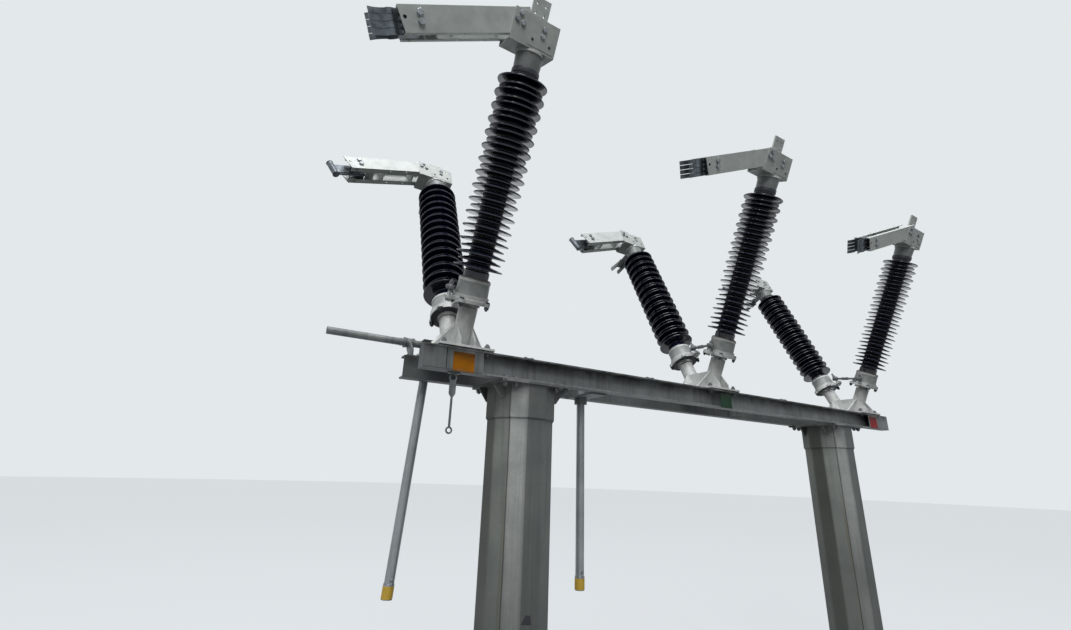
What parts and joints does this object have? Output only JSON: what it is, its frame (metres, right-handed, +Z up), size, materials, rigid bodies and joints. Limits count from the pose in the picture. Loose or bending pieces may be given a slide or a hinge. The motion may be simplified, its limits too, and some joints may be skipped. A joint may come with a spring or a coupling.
{
  "type": "high-voltage disconnector",
  "caption": "Outdoor high-voltage disconnector with leaning porcelain posts that turn arms with jaw and bar contacts, on twin beams and pillars, with an earthing shaft.",
  "frame": {"origin": "centre of the left pillar's foot, on the ground", "axes": "+X along the beams from the left pillar to the right one, +Z up, -Y to the front posts"},
  "size_m": [5.0554, 1.9168, 4.0017],
  "materials": {
    "pillar_steel": "weathered hot-dip zinc on folded steel plate, dull",
    "beam_zinc": "weathered hot-dip zinc with dark run-off stains",
    "drive_zinc": "galvanised tube, satin",
    "base_paint": "light grey paint over welded steel",
    "head_paint": "pale grey-green paint over folded sheet",
    "porcelain": "very dark blue-black glaze, glossy",
    "contact_metal": "tinned copper, dulled grey",
    "link_steel": "galvanised rod and ball joints, dull"
  },
  "bodies": {
    "structure": {"left_pillar": "pillar_steel", "right_pillar": "pillar_steel", "front_beam": "beam_zinc", "rear_beam": "beam_zinc", "beam_ties": "beam_zinc", "base_1": "base_paint", "base_2": "base_paint", "base_3": "base_paint", "shaft_brackets": "beam_zinc", "drive_bearings": "beam_zinc", "hanging_eye": "beam_zinc"},
    "front_post_1": {"front_turntable_1": "base_paint", "front_insulator_1": "porcelain", "front_head_1": "head_paint", "front_arm_1": "head_paint", "front_jaw_1": "contact_metal"},
    "rear_post_1": {"rear_turntable_1": "base_paint", "rear_insulator_1": "porcelain", "rear_head_1": "head_paint", "rear_arm_1": "head_paint", "rear_plug_1": "contact_metal"},
    "link_1": {"cross_link_1": "link_steel"},
    "link_end_1": {"cross_link_end_1": "link_steel"},
    "front_post_2": {"front_turntable_2": "base_paint", "front_insulator_2": "porcelain", "front_head_2": "head_paint", "front_arm_2": "head_paint", "front_jaw_2": "contact_metal"},
    "rear_post_2": {"rear_turntable_2": "base_paint", "rear_insulator_2": "porcelain", "rear_head_2": "head_paint", "rear_arm_2": "head_paint", "rear_plug_2": "contact_metal"},
    "link_2": {"cross_link_2": "link_steel"},
    "link_end_2": {"cross_link_end_2": "link_steel"},
    "front_post_3": {"front_turntable_3": "base_paint", "front_insulator_3": "porcelain", "front_head_3": "head_paint", "front_arm_3": "head_paint", "front_jaw_3": "contact_metal"},
    "rear_post_3": {"rear_turntable_3": "base_paint", "rear_insulator_3": "porcelain", "rear_head_3": "head_paint", "rear_arm_3": "head_paint", "rear_plug_3": "contact_metal"},
    "link_3": {"cross_link_3": "link_steel"},
    "link_end_3": {"cross_link_end_3": "link_steel"},
    "earthing_shaft": {"earthing_shaft": "drive_zinc"},
    "main_drive": {"main_drive_tube": "drive_zinc"},
    "earthing_drive": {"earthing_drive_tube": "drive_zinc"}
  },
  "joints": [
    {"name": "front_post_1_turn", "type": "hinge", "parent": "structure", "child": "front_post_1", "pos_m": [-0.435, -0.15637, 2.48833], "axis": [0, 0.4226, -0.9063], "range_deg": [0, 90]},
    {"name": "rear_post_1_turn", "type": "hinge", "parent": "structure", "child": "rear_post_1", "pos_m": [-0.435, 0.15637, 2.48833], "axis": [0, 0.4226, 0.9063], "range_deg": [0, 90]},
    {"name": "front_post_2_turn", "type": "hinge", "parent": "structure", "child": "front_post_2", "pos_m": [1.565, -0.15637, 2.48833], "axis": [0, 0.4226, -0.9063], "range_deg": [0, 90]},
    {"name": "rear_post_2_turn", "type": "hinge", "parent": "structure", "child": "rear_post_2", "pos_m": [1.565, 0.15637, 2.48833], "axis": [0, 0.4226, 0.9063], "range_deg": [0, 90]},
    {"name": "front_post_3_turn", "type": "hinge", "parent": "structure", "child": "front_post_3", "pos_m": [3.565, -0.15637, 2.48833], "axis": [0, 0.4226, -0.9063], "range_deg": [0, 90]},
    {"name": "rear_post_3_turn", "type": "hinge", "parent": "structure", "child": "rear_post_3", "pos_m": [3.565, 0.15637, 2.48833], "axis": [0, 0.4226, 0.9063], "range_deg": [0, 90]},
    {"name": "link_1_swing", "type": "hinge", "parent": "rear_post_1", "child": "link_1", "pos_m": [-0.42183, 0.08253, 2.62649], "axis": [-0.0935, -0.2006, -0.9752], "range_deg": [0, 86.5]},
    {"name": "link_end_1_swing", "type": "hinge", "parent": "front_post_1", "child": "link_end_1", "pos_m": [-0.56083, -0.20207, 2.57074], "axis": [-0.2352, -0.4934, 0.8374], "range_deg": [0, 89.8]},
    {"name": "link_2_swing", "type": "hinge", "parent": "rear_post_2", "child": "link_2", "pos_m": [1.57817, 0.08253, 2.62649], "axis": [-0.0935, -0.2006, -0.9752], "range_deg": [0, 86.5]},
    {"name": "link_end_2_swing", "type": "hinge", "parent": "front_post_2", "child": "link_end_2", "pos_m": [1.43917, -0.20207, 2.57074], "axis": [-0.2352, -0.4934, 0.8374], "range_deg": [0, 89.8]},
    {"name": "link_3_swing", "type": "hinge", "parent": "rear_post_3", "child": "link_3", "pos_m": [3.57817, 0.08253, 2.62649], "axis": [-0.0935, -0.2006, -0.9752], "range_deg": [0, 86.5]},
    {"name": "link_end_3_swing", "type": "hinge", "parent": "front_post_3", "child": "link_end_3", "pos_m": [3.43917, -0.20207, 2.57074], "axis": [-0.2352, -0.4934, 0.8374], "range_deg": [0, 89.8]},
    {"name": "main_drive_turn", "type": "hinge", "parent": "structure", "child": "main_drive", "pos_m": [0.465, 0.054, 2.1], "axis": [0, 0, 1], "range_deg": [0, 90]},
    {"name": "earthing_shaft_turn", "type": "hinge", "parent": "structure", "child": "earthing_shaft", "pos_m": [1.565, 0.262, 2.35], "axis": [1, 0, 0], "range_deg": [0, 90]},
    {"name": "earthing_drive_turn", "type": "hinge", "parent": "structure", "child": "earthing_drive", "pos_m": [-0.5, 0.262, 2.317], "axis": [0.0628, 0, 0.998], "range_deg": [0, 90]}
  ],
  "couplings": [
    {"joint": "front_post_1_turn", "follows": "rear_post_2_turn", "ratio": 1},
    {"joint": "rear_post_1_turn", "follows": "rear_post_2_turn", "ratio": 1},
    {"joint": "front_post_2_turn", "follows": "rear_post_2_turn", "ratio": 1},
    {"joint": "front_post_3_turn", "follows": "rear_post_2_turn", "ratio": 1},
    {"joint": "rear_post_3_turn", "follows": "rear_post_2_turn", "ratio": 1},
    {"joint": "link_1_swing", "follows": "rear_post_2_turn", "ratio": 0.96098},
    {"joint": "link_end_1_swing", "follows": "rear_post_2_turn", "ratio": 0.99771},
    {"joint": "link_2_swing", "follows": "rear_post_2_turn", "ratio": 0.96098},
    {"joint": "link_end_2_swing", "follows": "rear_post_2_turn", "ratio": 0.99771},
    {"joint": "link_3_swing", "follows": "rear_post_2_turn", "ratio": 0.96098},
    {"joint": "link_end_3_swing", "follows": "rear_post_2_turn", "ratio": 0.99771},
    {"joint": "main_drive_turn", "follows": "rear_post_2_turn", "ratio": 1},
    {"joint": "earthing_drive_turn", "follows": "earthing_shaft_turn", "ratio": 1}
  ]
}
